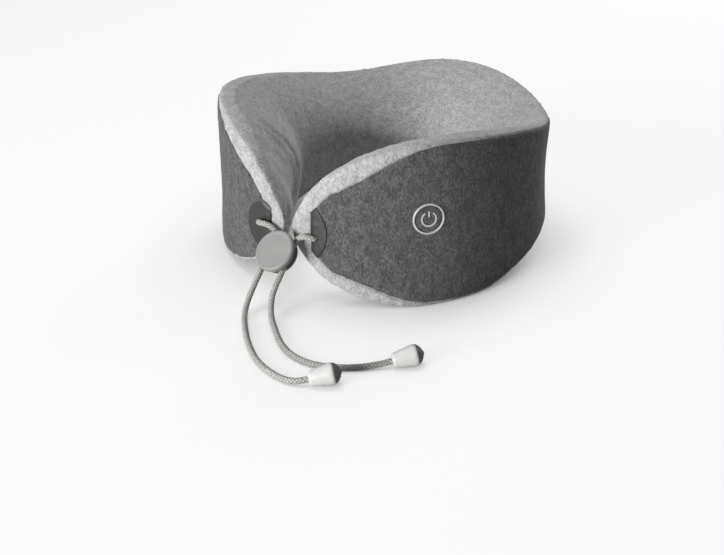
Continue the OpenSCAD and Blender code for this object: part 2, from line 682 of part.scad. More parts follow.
// Casing: a drum round each wheel, a column round the worm, and bosses for the bushes and screws
column_r = 9.5;
column_top = worm_half + 6;
motor_top = head_height - worm_half - 14;
motor_bottom = motor_top - motor_l;
flange_r = motor_r + 1.5;
flange_t = 3;
function boss_spots(side) = [for (a = [25, 90, 155]) casing_r * [-cos(a), side * sin(a), 0]];
module casing_outer() {
    for (side = [-1, 1]) in_head(side) {
        disc(casing_r, -casing_half, casing_half);
        disc(boss_shaft_r, rear_end, front_end);
        for (p = boss_spots(side)) translate(p) disc(boss_r, -casing_half, casing_half);
    }
    translate(worm_axis) {
        disc(column_r, motor_top, head_height + column_top);
        disc(flange_r, motor_top, motor_top + flange_t);
    }
}
module casing_inner() {
    for (side = [-1, 1]) in_head(side) {
        disc(cavity_r, -cavity_half, cavity_half);
        disc(bush_r + eps, -bush_end, bush_end + 1);
        for (p = boss_spots(side)) translate(p)
            disc(casing_screw_r + screw_gap, -casing_half - 1, casing_half - 1.5);
    }
    translate(worm_axis) {
        disc(column_r - casing_wall, motor_top + flange_t, head_height + column_top - 3);
        disc(motor_boss_r + screw_gap, motor_top - 1, motor_top + flange_t + 1);
        disc(motor_shaft_r + running_gap, motor_top, head_height + column_top + 1);
        for (s = [-1, 1]) translate([s * motor_screw_pitch, 0, 0])
            disc(motor_screw_r + screw_gap, motor_top - 1, motor_top + flange_t + 1);
    }
}
// The halves part on the middle planes of the two leaning wheels
module parting(rear, z0, z1) {
    reach = 80;
    dy = reach * tan(head_lean);
    translate([0, worm_y, z0]) linear_extrude(z1 - z0) polygon([[-reach, -dy], [0, 0], [reach, -dy],
        [reach, rear ? reach : -reach], [-reach, rear ? reach : -reach]]);
}
split_z = motor_top + flange_t;
module gearbox_rear() {
    color("gray") difference() {
        intersection() {
            casing_outer();
            union() {
                parting(true, 0, 200);
                parting(false, 0, split_z);
            }
        }
        casing_inner();
    }
}
module gearbox_front() {
    color("darkgray") difference() {
        intersection() {
            casing_outer();
            parting(false, split_z, 200);
        }
        casing_inner();
    }
}
module casing_screws() {
    color("silver") for (side = [-1, 1]) in_head(side) for (p = boss_spots(side)) translate(p) {
        disc(2.6, -casing_half - screw_head_t, -casing_half);
        disc(casing_screw_r, -casing_half - eps, casing_half - 2);
    }
}
motor_boss_r = 3.5;
motor_screw_pitch = 5.6;
motor_screw_r = 1.2;
module drive_motor() {
    color("slategray") translate(worm_axis) difference() {
        union() {
            disc(motor_r, motor_bottom, motor_top);
            disc(motor_boss_r, motor_top - eps, motor_top + 1.6);
        }
        disc(motor_shaft_r + running_gap, motor_top - 5, motor_top + 2);
        for (s = [-1, 1]) translate([s * motor_screw_pitch, 0, 0])
            disc(motor_screw_r + screw_gap, motor_top - 3.5, motor_top + 1);
    }
}
module motor_screws() {
    color("silver") translate(worm_axis) for (s = [-1, 1]) translate([s * motor_screw_pitch, 0, 0]) {
        disc(motor_screw_r, motor_top - 3, motor_top + flange_t + eps);
        disc(1.7, motor_top + flange_t, motor_top + flange_t + 1.2);
    }
}
module motor_shaft() {
    color("lightsteelblue") translate(worm_axis)
        disc(motor_shaft_r, motor_top - 4.8, head_height + column_top - 0.5);
}
head_screw_r = 1.2;
module head(side) {
    color("darkgray") in_head(side) difference() {
        rotate_extrude() polygon([[0, head_z], [head_r - 1, head_z], [head_r, head_z + 1],
            [head_r, head_face - 1], [head_r - 1, head_face], [0, head_face]]);
        disc(shaft_r + eps, head_z - 1, head_face + 1);
    }
}
module left_head() {
    head(-1);
}
module right_head() {
    head(1);
}
module head_knobs(side) {
    color("indianred") in_head(side) for (k = [0:knob_count - 1])
        rotate([0, 0, side * (90 + 360 * k / knob_count)]) translate([knob_orbit, 0, head_face]) {
            cylinder(r = knob_r, h = knob_h - knob_r);
            intersection() {
                translate([0, 0, knob_h - knob_r]) sphere(r = knob_r);
                disc(knob_r + 1, knob_h - knob_r - eps, knob_h + 1);
            }
        }
}
module left_head_knobs() {
    head_knobs(-1);
}
module right_head_knobs() {
    head_knobs(1);
}
module head_screw(side) {
    color("silver") in_head(side) {
        disc(3.4, head_face, head_face + 1.8);
        disc(head_screw_r, head_z - 3, head_face + eps);
    }
}
module left_head_screw() {
    head_screw(-1);
}
module right_head_screw() {
    head_screw(1);
}
// Mesh cloth over each head, under the neck panel
liner_depth = cover_t + cover_gap + 0.3;
liner_t = 0.6;
liner_rings = 4;
middle_ring = (ring_count - 1) / 2;
liner_cells = [for (i = [-1:ring_count - 1]) [for (j = [0:line_count - 1])
    abs(i + 0.5 - middle_ring) < liner_rings && j > outer_lines + 2 && j < line_count - 3]];
module head_liner(side) {
    color("black") intersection() {
        shell(liner_cells, liner_depth, liner_depth + liner_t);
        in_head(side) disc(head_r + 1.7, head_z, knob_top + 20);
        translate([side > 0 ? 0.5 : -100.5, -200, 0]) cube([100, 400, 200]);
    }
}
module left_head_liner() {
    head_liner(-1);
}
module right_head_liner() {
    head_liner(1);
}

// ---------- electronics ----------
function arm_middle(phi) = (skin(phi, 0) + skin(phi, 180)) / 2;
function level(p, z) = [p.x, p.y, z];
box_point = arm_middle(box_angle);
box_out = skin_normal(box_angle, 180);
box_wall = 2;
box_lid_t = 2;
box_screw_r = 1.2;
box_pillar_r = 2.6;
// X runs along the arm towards the front, Y outwards
module in_box() {
    translate(box_point) rotate([0, 0, atan2(box_out.y, box_out.x) - 90]) children();
}
function box_at(p) = let (a = atan2(box_out.y, box_out.x) - 90)
    box_point + [cos(a) * p.x - sin(a) * p.y, sin(a) * p.x + cos(a) * p.y, p.z];
box_corners = [for (sx = [-1, 1]) for (sy = [-1, 1])
    [sx * (box_l / 2 - box_wall - 1.6), sy * (box_t / 2 - box_wall - 1.6), 0]];
floor_z = -box_h / 2 + box_wall;
module control_box() {
    color("gray") in_box() difference() {
        union() {
            difference() {
                slab([box_l, box_t], -box_h / 2, box_h / 2);
                slab([box_l, box_t] - 2 * [box_wall, box_wall], floor_z, box_h / 2 + 1);
            }
            for (p = box_corners) translate(p) disc(box_pillar_r, floor_z - eps, box_h / 2);
        }
        for (p = box_corners) translate(p) disc(box_screw_r + screw_gap, box_h / 2 - 8, box_h / 2 + 1);
    }
}
module control_lid() {
    color("darkgray") in_box() difference() {
        slab([box_l, box_t], box_h / 2, box_h / 2 + box_lid_t);
        for (p = box_corners) translate(p)
            disc(box_screw_r + screw_gap, box_h / 2 - 1, box_h / 2 + box_lid_t + 1);
    }
}
module lid_screws() {
    color("silver") in_box() for (p = box_corners) translate(p) {
        disc(box_screw_r, box_h / 2 - 7, box_h / 2 + box_lid_t + eps);
        disc(2.2, box_h / 2 + box_lid_t, box_h / 2 + box_lid_t + screw_head_t);
    }
}
inner_l = box_l - 2 * box_wall - 4 * box_pillar_r;
module main_board() {
    color("green") in_box() translate([0, box_t / 2 - box_wall - 5, 0])
        slab([inner_l, 1.6], floor_z, box_h / 2 - 2);
}
battery_t = 9;
module battery() {
    color("royalblue") in_box() translate([0, -box_t / 2 + box_wall + 1 + battery_t / 2, 0])
        slab([inner_l, battery_t], floor_z, box_h / 2 - 4);
}
socket_size = [9, 15];
socket_l = 13;
port_size = [3.4, 9.2];
port_depth = 8;
socket_rise = 0.5;
socket_point = let (s = section_at(socket_angle), mid = (s[1] + s[2]) / 2, half = (s[1] - s[2]) / 2)
    skin(socket_angle, 180 - asin((socket_height - mid) / half));
socket_dir = skin_normal(socket_angle, 180);
module at_socket() {
    along(socket_point, socket_dir) children();
}
module charge_socket() {
    color("black") at_socket() difference() {
        slab(socket_size, -socket_l, socket_rise);
        difference() {
            slab(port_size, socket_rise - port_depth, socket_rise + 1);
            slab([0.8, 6.6], socket_rise - port_depth - 1, socket_rise - 1);
        }
    }
}
// Leads run in straight stretches through channels in the foam
wire_r = 1.5;
wire_gap = 0.4;
lead_z = 10;                     // height of the leads against the box's middle
lead_run = 6;                    // straight run of a lead before the box
button_wire = [local(button_point, button_dir, [0, 0, -cup_depth]),
    local(button_point, button_dir, [0, 0, -cup_depth - 8]),
    level(arm_middle(100), button_point.z), level(arm_middle(80), box_point.z - lead_z),
    box_at([box_l / 2 + lead_run, 0, -lead_z]), box_at([box_l / 2, 0, -lead_z])];
motor_wire = [[0, worm_y, motor_bottom], [0, worm_y, motor_bottom - 5], [11, worm_y + 13, motor_bottom - 3],
    [26, worm_y + 13, motor_bottom + 16], [52, worm_y + 6, box_point.z - lead_z - 2],
    box_at([-box_l / 2 - lead_run, 4, -lead_z]), box_at([-box_l / 2, 4, -lead_z])];
charge_wire = [local(socket_point, socket_dir, [0, 0, -socket_l]),
    local(socket_point, socket_dir, [0, 0, -socket_l - 3]),
    box_at([-box_l / 2 - lead_run, 4, lead_z]), box_at([-box_l / 2, 4, lead_z])];
wires = [button_wire, motor_wire, charge_wire];
module button_lead() {
    color("black") swept_tube(button_wire, wire_r, 8);
}
module motor_lead() {
    color("red") swept_tube(motor_wire, wire_r, 8);
}
module charge_lead() {
    color("black") swept_tube(charge_wire, wire_r, 8);
}

outer_panel();
inner_panel();
foam_core();
left_patch();
right_patch();
left_cord_stop();
right_cord_stop();
left_cord();
right_cord();
left_cord_cap();
right_cord_cap();
left_cap_plug();
right_cap_plug();
lock_body();
lock_plunger();
lock_disc();
lock_spring();
button_ring();
button_key();
button_cover();
power_icon();
button_dome();
button_housing();
switch_board();
tact_switch();
gearbox_rear();
gearbox_front();
casing_screws();
drive_motor();
motor_screws();
motor_shaft();
worm();
left_worm_wheel();
right_worm_wheel();
left_output_shaft();
right_output_shaft();
shaft_bushes();
left_head();
right_head();
left_head_knobs();
right_head_knobs();
left_head_screw();
right_head_screw();
left_head_liner();
right_head_liner();
control_box();
control_lid();
lid_screws();
main_board();
battery();
charge_socket();
button_lead();
motor_lead();
charge_lead();
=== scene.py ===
import json
import math

import bmesh
import bpy
from mathutils import Matrix, Vector, kdtree, noise
from mathutils.bvhtree import BVHTree


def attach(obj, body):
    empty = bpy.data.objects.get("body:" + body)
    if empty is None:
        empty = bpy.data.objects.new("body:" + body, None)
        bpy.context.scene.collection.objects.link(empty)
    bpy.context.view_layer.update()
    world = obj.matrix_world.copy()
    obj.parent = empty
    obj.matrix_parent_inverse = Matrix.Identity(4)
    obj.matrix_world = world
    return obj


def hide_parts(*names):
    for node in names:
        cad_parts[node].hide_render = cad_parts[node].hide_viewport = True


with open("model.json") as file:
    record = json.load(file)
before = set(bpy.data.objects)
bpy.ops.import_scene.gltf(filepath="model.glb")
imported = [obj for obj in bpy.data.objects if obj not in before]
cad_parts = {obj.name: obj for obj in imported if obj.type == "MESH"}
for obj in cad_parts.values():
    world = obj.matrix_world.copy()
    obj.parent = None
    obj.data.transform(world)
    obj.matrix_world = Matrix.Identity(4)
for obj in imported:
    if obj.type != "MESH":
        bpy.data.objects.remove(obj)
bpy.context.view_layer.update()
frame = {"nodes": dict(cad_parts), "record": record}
MM = 0.001


# ---- Camera, floor and lamps -------------------------------------------------------------
# The collar stands on a pale studio sweep and is seen from its front right, a little above.
# A soft lamp overhead and a low one in front give the shape, a third one behind lights the rim, and a
# dim sky fills the shadows.
view_turn, view_rise = math.radians(36.06), math.radians(20.4)
towards_camera = Vector((math.sin(view_turn) * math.cos(view_rise),
                         -math.cos(view_turn) * math.cos(view_rise), math.sin(view_rise)))
collar_middle = Vector((0, -2.2, 70)) * MM
camera = bpy.data.objects.new("camera", bpy.data.cameras.new("camera"))
bpy.context.scene.collection.objects.link(camera)
camera.data.lens = 64.17
camera.data.shift_x = -0.0273
camera.data.shift_y = -0.161
camera.location = collar_middle + towards_camera * 1088.5 * MM
camera.rotation_mode = "QUATERNION"
camera.rotation_quaternion = (-towards_camera).to_track_quat("-Z", "Y")
bpy.context.scene.camera = camera
bpy.context.scene.view_settings.view_transform = "Standard"


def colour(hex_code, alpha=1.0):
    """A colour written as sRGB hex, as the linear values that a shader takes."""
    parts = [int(hex_code[i:i + 2], 16) / 255 for i in (1, 3, 5)]
    return tuple(c / 12.92 if c <= 0.04045 else ((c + 0.055) / 1.055) ** 2.4 for c in parts) + (alpha,)


def add(tree, kind, inputs=None, **settings):
    """Adds a shader node with its settings; an input is a value or another node's output."""
    made = tree.nodes.new("ShaderNode" + kind)
    for name, value in settings.items():
        setattr(made, name, value)
    for socket, value in (inputs or {}).items():
        if isinstance(value, bpy.types.NodeSocket):
            tree.links.new(value, made.inputs[socket])
        else:
            made.inputs[socket].default_value = value
    return made


def blank(name):
    """A new material's node tree, empty but for its output."""
    material = bpy.data.materials.new(name)
    material.use_nodes = True
    material.node_tree.nodes.clear()
    return material, material.node_tree


def ramp(tree, fac, stops):
    """A colour ramp through (place, hex) stops."""
    made = add(tree, "ValToRGB", {"Fac": fac})
    scale = made.color_ramp.elements
    while len(scale) < len(stops):
        scale.new(0.5)
    for element, (place, code) in zip(scale, stops):
        element.position = place
        element.color = colour(code)
    return made.outputs["Color"]


# The sweep glows white to the camera, and the glow fades where the collar stands over it: a painted shade
# under and inside the collar, from an ambient occlusion node
sweep, tree = blank("studio_sweep")
rays = add(tree, "LightPath")
painted_shade_ao = add(tree, "AmbientOcclusion", {"Distance": 90 * MM}, samples=8)
seen = add(tree, "Math", {0: rays.outputs["Is Camera Ray"], 1: painted_shade_ao.outputs["AO"]}, operation="MULTIPLY")
seen = add(tree, "Math", {0: seen.outputs[0], 1: 0.82}, operation="MULTIPLY")
paper = add(tree, "BsdfDiffuse", {"Color": colour("#f2f2f1")})
glow = add(tree, "Emission", {"Color": colour("#ffffff"), "Strength": 1.0})
mixed = add(tree, "MixShader", {0: seen.outputs[0], 1: paper.outputs[0], 2: glow.outputs[0]})
add(tree, "OutputMaterial", {"Surface": mixed.outputs[0]})
floor_mesh = bpy.data.meshes.new("floor")
bm = bmesh.new()
bmesh.ops.create_grid(bm, x_segments=1, y_segments=1, size=6)
bm.to_mesh(floor_mesh)
floor_mesh.materials.append(sweep)
floor = bpy.data.objects.new("floor", floor_mesh)
bpy.context.scene.collection.objects.link(floor)

world = bpy.data.worlds.new("studio")
bpy.context.scene.world = world
world.use_nodes = True
world.node_tree.nodes.clear()
tree = world.node_tree
rays = add(tree, "LightPath")
direct = add(tree, "Math", {0: rays.outputs["Is Camera Ray"], 1: rays.outputs["Is Glossy Ray"]},
             operation="MAXIMUM")
direct = add(tree, "Math", {0: direct.outputs[0], 1: rays.outputs["Is Transmission Ray"]},
             operation="MAXIMUM")
sky = add(tree, "Background", {"Color": colour("#ffffff"), "Strength": 0.05})
card = add(tree, "Background", {"Color": colour("#ffffff"), "Strength": 1.0})
mixed = add(tree, "MixShader", {0: direct.outputs[0], 1: sky.outputs[0], 2: card.outputs[0]})
add(tree, "OutputWorld", {"Surface": mixed.outputs[0]})

for lamp_name, place, size, power in (("top_lamp", (-300, 0, 1800), 800, 12),
                                      ("front_lamp", (-220, -1700, 330), 700, 38),
                                      ("rim_lamp", (-100, 1700, 1000), 900, 18)):
    lamp = bpy.data.objects.new(lamp_name, bpy.data.lights.new(lamp_name, "AREA"))
    lamp.data.size = size * MM
    lamp.data.energy = power
    lamp.location = Vector(place) * MM
    lamp.rotation_mode = "QUATERNION"
    lamp.rotation_quaternion = (collar_middle - lamp.location).to_track_quat("-Z", "Y")
    bpy.context.scene.collection.objects.link(lamp)


# ---- Draw cords --------------------------------------------------------------------------
# Two braided polyester cords, each knotted on a stop inside its nose. They come out through the
# nose patches, turn down through the cord lock and lie on the table up to their end caps.
cord_diameter = 4.5 * MM
left_route = [
    (-21.4, -128.5, 54), (-22.1, -133.9, 54), (-20.3, -136.6, 55.4), (-17.5, -138.6, 56.3),
    (-14.2, -138.9, 56.7), (-10.6, -138.4, 56.4), (-7, -137.9, 55.2), (-3.8, -137.9, 53.2),
    (-1.4, -138.5, 50.8), (-0.5, -140.1, 48), (-0.5, -147.4, 39.9), (-0.5, -154.7, 31.7),
    (-0.5, -162.8, 22.8), (-0.3, -170, 14.7), (0.8, -176, 8.7), (3.6, -182, 4.5),
    (8.5, -188.5, 2.6), (16, -196.5, 2.3), (25, -205.5, 2.3), (35, -214.5, 2.3),
    (46.5, -223.5, 2.3), (58, -231, 2.3), (69, -236, 2.3), (79, -238.8, 2.3), (88, -240.2, 2.4),
    (96, -239.9, 2.9), (102.6, -237.6, 3.9), (107, -233.7, 5.1)]
right_route = [
    (32.4, -128.5, 54), (33.1, -133.9, 54), (31.4, -136.2, 54.9), (29, -137.6, 55.3),
    (26.2, -138.1, 55.2), (23.5, -138.1, 54.3), (21, -138.2, 52.7), (19.3, -138.8, 50.6),
    (18.5, -140.1, 48), (18.5, -147.4, 39.9), (18.5, -154.7, 31.7), (18.5, -162.8, 22.8),
    (19, -168, 16), (20.6, -171.8, 9.7), (24.2, -176, 4.9), (30, -181.2, 2.6), (38, -188, 2.3),
    (47.5, -196, 2.3), (58, -203.6, 2.3), (69, -209.3, 2.3), (80.5, -212.3, 2.3), (92, -212.4, 2.3),
    (103, -209.6, 2.3), (113.5, -203.8, 2.3), (123, -196.4, 2.5), (130, -189.5, 3.2),
    (134.6, -184.6, 4), (138.6, -180.2, 5.1)]


def eased(points, parts):
    """A smooth line through the points, with that many parts between two of them."""
    line = []
    for i in range(len(points) - 1):
        a, b, c, d = (Vector(points[min(max(i + k, 0), len(points) - 1)]) * MM for k in (-1, 0, 1, 2))
        for t in (n / parts for n in range(parts)):
            line.append(0.5 * (2 * b + (c - a) * t + (2 * a - 5 * b + 4 * c - d) * t * t
                               + (3 * b - 3 * c + d - a) * t ** 3))
    return line + [Vector(points[-1]) * MM]


# Solution-dyed polyester yarn, braided round: dull and fibrous, pale with some dark yarns, and with painted
# shade in the grooves between the yarns. The yarns are 1.1 mm wide in the braid, which is about as fine as
# shows.
braid, tree = blank("polyester_braid")
yarns, pitch = 8, 5 * MM
along_around = add(tree, "SeparateXYZ", {0: add(tree, "UVMap", uv_map="braid").outputs["UV"]})
turn = add(tree, "Math", {0: along_around.outputs["X"], 1: yarns / 2}, operation="MULTIPLY")
run = add(tree, "Math", {0: along_around.outputs["Y"], 1: 2 / pitch}, operation="MULTIPLY")
right_hand = add(tree, "Math", {0: turn.outputs[0], 1: run.outputs[0]}, operation="ADD")
left_hand = add(tree, "Math", {0: turn.outputs[0], 1: run.outputs[0]}, operation="SUBTRACT")
crossing = add(tree, "CombineXYZ", {"X": right_hand.outputs[0], "Y": left_hand.outputs[0], "Z": 0.5})
over = add(tree, "TexChecker", {"Vector": crossing.outputs[0], "Scale": 1.0})
crowns = []
for hand in (right_hand, left_hand):
    wave = add(tree, "Math", {0: hand.outputs[0], 1: math.pi}, operation="MULTIPLY")
    wave = add(tree, "Math", {0: wave.outputs[0]}, operation="SINE")
    crowns.append(add(tree, "Math", {0: wave.outputs[0]}, operation="ABSOLUTE").outputs[0])
crown = add(tree, "Mix", {"Factor": over.outputs["Fac"], 2: crowns[0], 3: crowns[1]})
fibres = add(tree, "TexNoise", {"Vector": add(tree, "TexCoord").outputs["Object"],
                               "Scale": 1 / (0.9 * MM), "Detail": 3.0, "Roughness": 0.7})
# The yarn crowns are painted lighter and the grooves between them darker: painted shade, added to the fibre
# flecks
tone_with_groove_shade = add(tree, "Math", {0: crown.outputs[0], 1: 0.35, 2: -0.15}, operation="MULTIPLY_ADD")
tone_with_groove_shade = add(tree, "Math", {0: tone_with_groove_shade.outputs[0], 1: fibres.outputs["Fac"]}, operation="ADD")
tint = ramp(tree, tone_with_groove_shade.outputs[0], [(0.28, "#3b3a38"), (0.5, "#8d8b87"), (0.75, "#b9b7b3")])
lift = add(tree, "Bump", {"Strength": 0.8, "Distance": 0.35 * MM, "Height": crown.outputs[0]})
yarn = add(tree, "BsdfPrincipled", {"Base Color": tint, "Roughness": 0.8, "Specular IOR Level": 0.25,
                                    "Sheen Weight": 0.15, "Normal": lift.outputs[0]})
add(tree, "OutputMaterial", {"Surface": yarn.outputs[0]})

cord_sides, steps_per_point = 24, 8
cords = {}
for side, route in (("left", left_route), ("right", right_route)):
    line = eased(route, steps_per_point)
    curve = bpy.data.curves.new(side + "_cord", "CURVE")
    curve.dimensions = "3D"
    curve.bevel_depth = cord_diameter / 2
    curve.bevel_resolution = cord_sides // 4 - 2
    curve.use_fill_caps = True
    spline = curve.splines.new("POLY")
    spline.points.add(len(line) - 1)
    for point, place in zip(spline.points, line):
        point.co = (*place, 1)
    drawn = bpy.data.objects.new(side + "_drawn", curve)
    bpy.context.scene.collection.objects.link(drawn)
    bpy.context.view_layer.update()
    mesh = bpy.data.meshes.new_from_object(drawn.evaluated_get(bpy.context.evaluated_depsgraph_get()))
    bpy.data.objects.remove(drawn)
    sides = (len(mesh.vertices)) // len(line)
    runs = [0.0]
    for a, b in zip(line, line[1:]):
        runs.append(runs[-1] + (b - a).length)
    while mesh.uv_layers:
        mesh.uv_layers.remove(mesh.uv_layers[0])
    uv = mesh.uv_layers.new(name="braid")
    for face in mesh.polygons:
        spots = [mesh.loops[k].vertex_index for k in face.loop_indices]
        turns = [spot % sides / sides for spot in spots]
        wraps = max(turns) - min(turns) > 0.5
        for k, spot, share in zip(face.loop_indices, spots, turns):
            around = share + (1 if wraps and share < 0.5 else 0)
            uv.data[k].uv = (around, runs[min(spot // sides, len(runs) - 1)])
    mesh.materials.clear()
    mesh.materials.append(braid)
    mesh.shade_smooth()
    cord = bpy.data.objects.new(side + "_draw_cord", mesh)
    bpy.context.scene.collection.objects.link(cord)
    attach(cord, "collar")
    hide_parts(side + "_cord")
    cords[side] = (cord, line)


# ---- Cord caps and plugs -----------------------------------------------------------------
# A tapered cap of pale satin ABS hides each cord's knot, and a plug drawn dark grey closes its wide end.
def moulded(name, tint, shade, roughness, grain):
    """Injection-moulded plastic or rubber: an even colour with a faint cloud and a spark-eroded grain."""
    material, tree = blank(name)
    place = add(tree, "TexCoord").outputs["Object"]
    cloud = add(tree, "TexNoise", {"Vector": place, "Scale": 1 / (14 * MM), "Detail": 2.0})
    skin = add(tree, "TexNoise", {"Vector": place, "Scale": 1 / (grain * MM), "Detail": 2.0})
    lift = add(tree, "Bump", {"Strength": 0.25, "Distance": 0.05 * MM, "Height": skin.outputs["Fac"]})
    shell = add(tree, "BsdfPrincipled", {
        "Base Color": ramp(tree, cloud.outputs["Fac"], [(0.35, shade), (0.65, tint)]),
        "Roughness": roughness, "IOR": 1.53, "Normal": lift.outputs[0]})
    add(tree, "OutputMaterial", {"Surface": shell.outputs[0]})
    return material


def turned(profile, steps=64):
    """A body of revolution round +Z, in millimetres, from (radius, height) points."""
    bm = bmesh.new()
    rim = [bm.verts.new((r * MM, 0, z * MM)) for r, z in profile]
    edges = [bm.edges.new(pair) for pair in zip(rim, rim[1:])]
    bmesh.ops.spin(bm, geom=rim + edges, cent=(0, 0, 0), axis=(0, 0, 1), angle=math.tau,
                   steps=steps, use_merge=True)
    bmesh.ops.remove_doubles(bm, verts=bm.verts, dist=0.005 * MM)
    bmesh.ops.recalc_face_normals(bm, faces=bm.faces)
    return bm


def rounded(profile, reach, parts=4):
    """The profile with each inner corner replaced by an arc-like curve that starts reach before it."""
    points = [Vector((*p, 0)) for p in profile]
    out = [points[0]]
    for a, b, c in zip(points, points[1:], points[2:]):
        near = min(reach, (b - a).length * 0.45, (c - b).length * 0.45)
        start, end = b + (a - b).normalized() * near, b + (c - b).normalized() * near
        out += [start.lerp(b, t).lerp(b.lerp(end, t), t) for t in (n / parts for n in range(parts + 1))]
    return [(p.x, p.y) for p in out + [points[-1]]]


def facing(place, direction):
    """The placement that carries +Z on to a direction at a place, as the CAD's frames do."""
    d = Vector(direction).normalized()
    tilt, swing = math.acos(d.z), math.atan2(d.y, d.x)
    return Matrix.Translation(place) @ Matrix.Rotation(swing, 4, "Z") @ Matrix.Rotation(tilt, 4, "Y")


def piece(name, shape, material, body, slot, *replaced):
    """Makes the object of a finished bmesh or mesh, ties it to its body and hides the CAD nodes that it
    replaces.
    """
    mesh = shape
    if isinstance(shape, bmesh.types.BMesh):
        mesh = bpy.data.meshes.new(name)
        shape.to_mesh(mesh)
        shape.free()
    mesh.materials.clear()
    mesh.materials.append(material)
    mesh.shade_smooth()
    mesh.set_sharp_from_angle(angle=math.radians(42))
    made = bpy.data.objects.new(name, mesh)
    bpy.context.scene.collection.objects.link(made)
    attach(made, body)
    if replaced:
        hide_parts(*replaced)
    return made


satin_abs = moulded("satin_abs_pale", "#c6c6c4", "#bfbfbd", 0.42, 0.5)
plug_dark_grey = moulded("moulded_plug_dark_grey", "#4a4644", "#403d3b", 0.6, 0.6)
cap_profile = [(0, 0), (2.6, 0), (4.4, 0.3), (5.2, 1.6), (6.2, 6.5), (7.3, 13), (7.8, 16.4), (7.3, 18),
               (0, 18)]
plug_profile = [(0, 18), (7.2, 18), (7.1, 18.6), (5.4, 20.6), (3.2, 22), (1.7, 22.3), (1.4, 23), (0, 23)]
for side, (cord, line) in cords.items():
    route = left_route if side == "left" else right_route
    end = Vector(route[-1]) * MM
    place = facing(end, end - Vector(route[-2]) * MM)
    cap = turned(rounded(cap_profile, 0.8))
    plug = turned(rounded(plug_profile, 0.5))
    for shape in (cap, plug):
        shape.transform(place)
    cap = piece(side + "_end_cap", cap, satin_abs, "collar", "cap_grey", side + "_cord_cap")
    plug = piece(side + "_end_plug", plug, plug_dark_grey, "collar", "dark_plastic", side + "_cap_plug")
    cords[side] += (cap, plug)


# ---- Cord lock ---------------------------------------------------------------------------
# A two-part spring lock: a dark barrel that both cords run through, a plunger that a steel spring
# pushes up to pinch them, and a broad satin disc on the plunger that is pressed with the thumb.
lock_place = facing(Vector((9, -154, 45.8)) * MM, (0, -0.743, 0.669))
disc_abs = moulded("satin_abs_disc", "#868685", "#80807f", 0.4, 0.5)
barrel_abs = moulded("textured_abs_dark", "#3a3938", "#333231", 0.55, 0.45)
disc_profile = [(0, -0.25), (13.2, -0.25), (14.2, 0), (15.2, 0), (16.5, -1.3), (16.5, -4.45),
                (14.8, -4.45), (14.8, -2.5), (0, -2.5)]
disc = turned(rounded(disc_profile, 0.55), steps=96)
disc.transform(lock_place)
lock_disc = piece("lock_disc_satin", disc, disc_abs, "lock_button", "disc_grey", "lock_disc")

barrel_profile = [(0, -13.3), (13.3, -13.3), (14.5, -12), (14.5, -4.3), (12.9, -4.3), (12.9, -12.1),
                  (0, -12.1)]
barrel = turned(rounded(barrel_profile, 0.5), steps=96)
barrel_mesh = bpy.data.meshes.new("barrel")
barrel.to_mesh(barrel_mesh)


def shaped(mesh, *steps):
    """The mesh after modifiers, each given as (kind, settings); a cutter is a bmesh that is used once."""
    thing = bpy.data.objects.new("thing", mesh)
    bpy.context.scene.collection.objects.link(thing)
    cutters = []
    for kind, settings in steps:
        modifier = thing.modifiers.new(kind, kind)
        for name, value in settings.items():
            if isinstance(value, bmesh.types.BMesh):
                cutter = bpy.data.objects.new("cutter", bpy.data.meshes.new("cutter"))
                value.to_mesh(cutter.data)
                value.free()
                bpy.context.scene.collection.objects.link(cutter)
                cutters.append(cutter)
                value = cutter
            setattr(modifier, name, value)
    bpy.context.view_layer.update()
    made = bpy.data.meshes.new_from_object(thing.evaluated_get(bpy.context.evaluated_depsgraph_get()))
    for used in [thing, *cutters]:
        bpy.data.objects.remove(used)
    return made


def rod(radius, low, high, place, sides=48):
    """A plain round bar along +Z of a placement, for cutting holes."""
    bm = bmesh.new()
    bmesh.ops.create_cone(bm, cap_ends=True, segments=sides, radius1=radius * MM, radius2=radius * MM,
                          depth=(high - low) * MM, matrix=Matrix.Translation((0, 0, (high + low) / 2 * MM)))
    bm.transform(place)
    return bm


def cuts_with(cutters):
    """Boolean steps that take each cutter away, for shaped."""
    return [("BOOLEAN", {"operation": "DIFFERENCE", "object": cutter}) for cutter in cutters]


bore_radius, bore_offset, bore_height = 2.65, 9.5, -8.9
across = Matrix.Rotation(math.pi / 2, 4, "Y")
cord_bores = [rod(bore_radius, -20, 20, Matrix.Translation((0, y * MM, bore_height * MM)) @ across)
              for y in (-bore_offset, bore_offset)]
barrel_mesh = shaped(barrel_mesh, *cuts_with(cord_bores))
barrel_mesh.transform(lock_place)
lock_barrel = piece("lock_barrel", barrel_mesh, barrel_abs, "lock", "dark_plastic", "lock_body")


# ---- Collar cover ------------------------------------------------------------------------
# A stretch cover of brushed, heathered knit over moulded foam: a dark panel outside and a pale one
# over the rim, the neck side and the bottom, sewn edge to edge with a plain seam.
# Sections: angle round the plan, top, bottom, thickness, inset of the ridge, pinch of the waist.
sections = [(0, 126, 0, 70, 4, 3), (50, 109, 26, 74, 5, 4), (105, 130, 0, 68, 20, 3),
            (135, 132, 0, 70, 17, 4), (155, 120, 7, 50, 18, 3), (168, 104, 19, 36, 12, 1),
            (178, 90, 25, 34, 12, 0)]
half_width, back_depth, front_depth, plan_power = 137.5, 137, 133.5, 2.2
closure_shift, plan_shift = 5.5, -2.185
nose_start, nose_end, nose_power, nose_inset = 164.4, 178.8, 1.9, 0.12
upper_fullness, lower_fullness, wall_squareness = 1.9, 0.8, 0.22


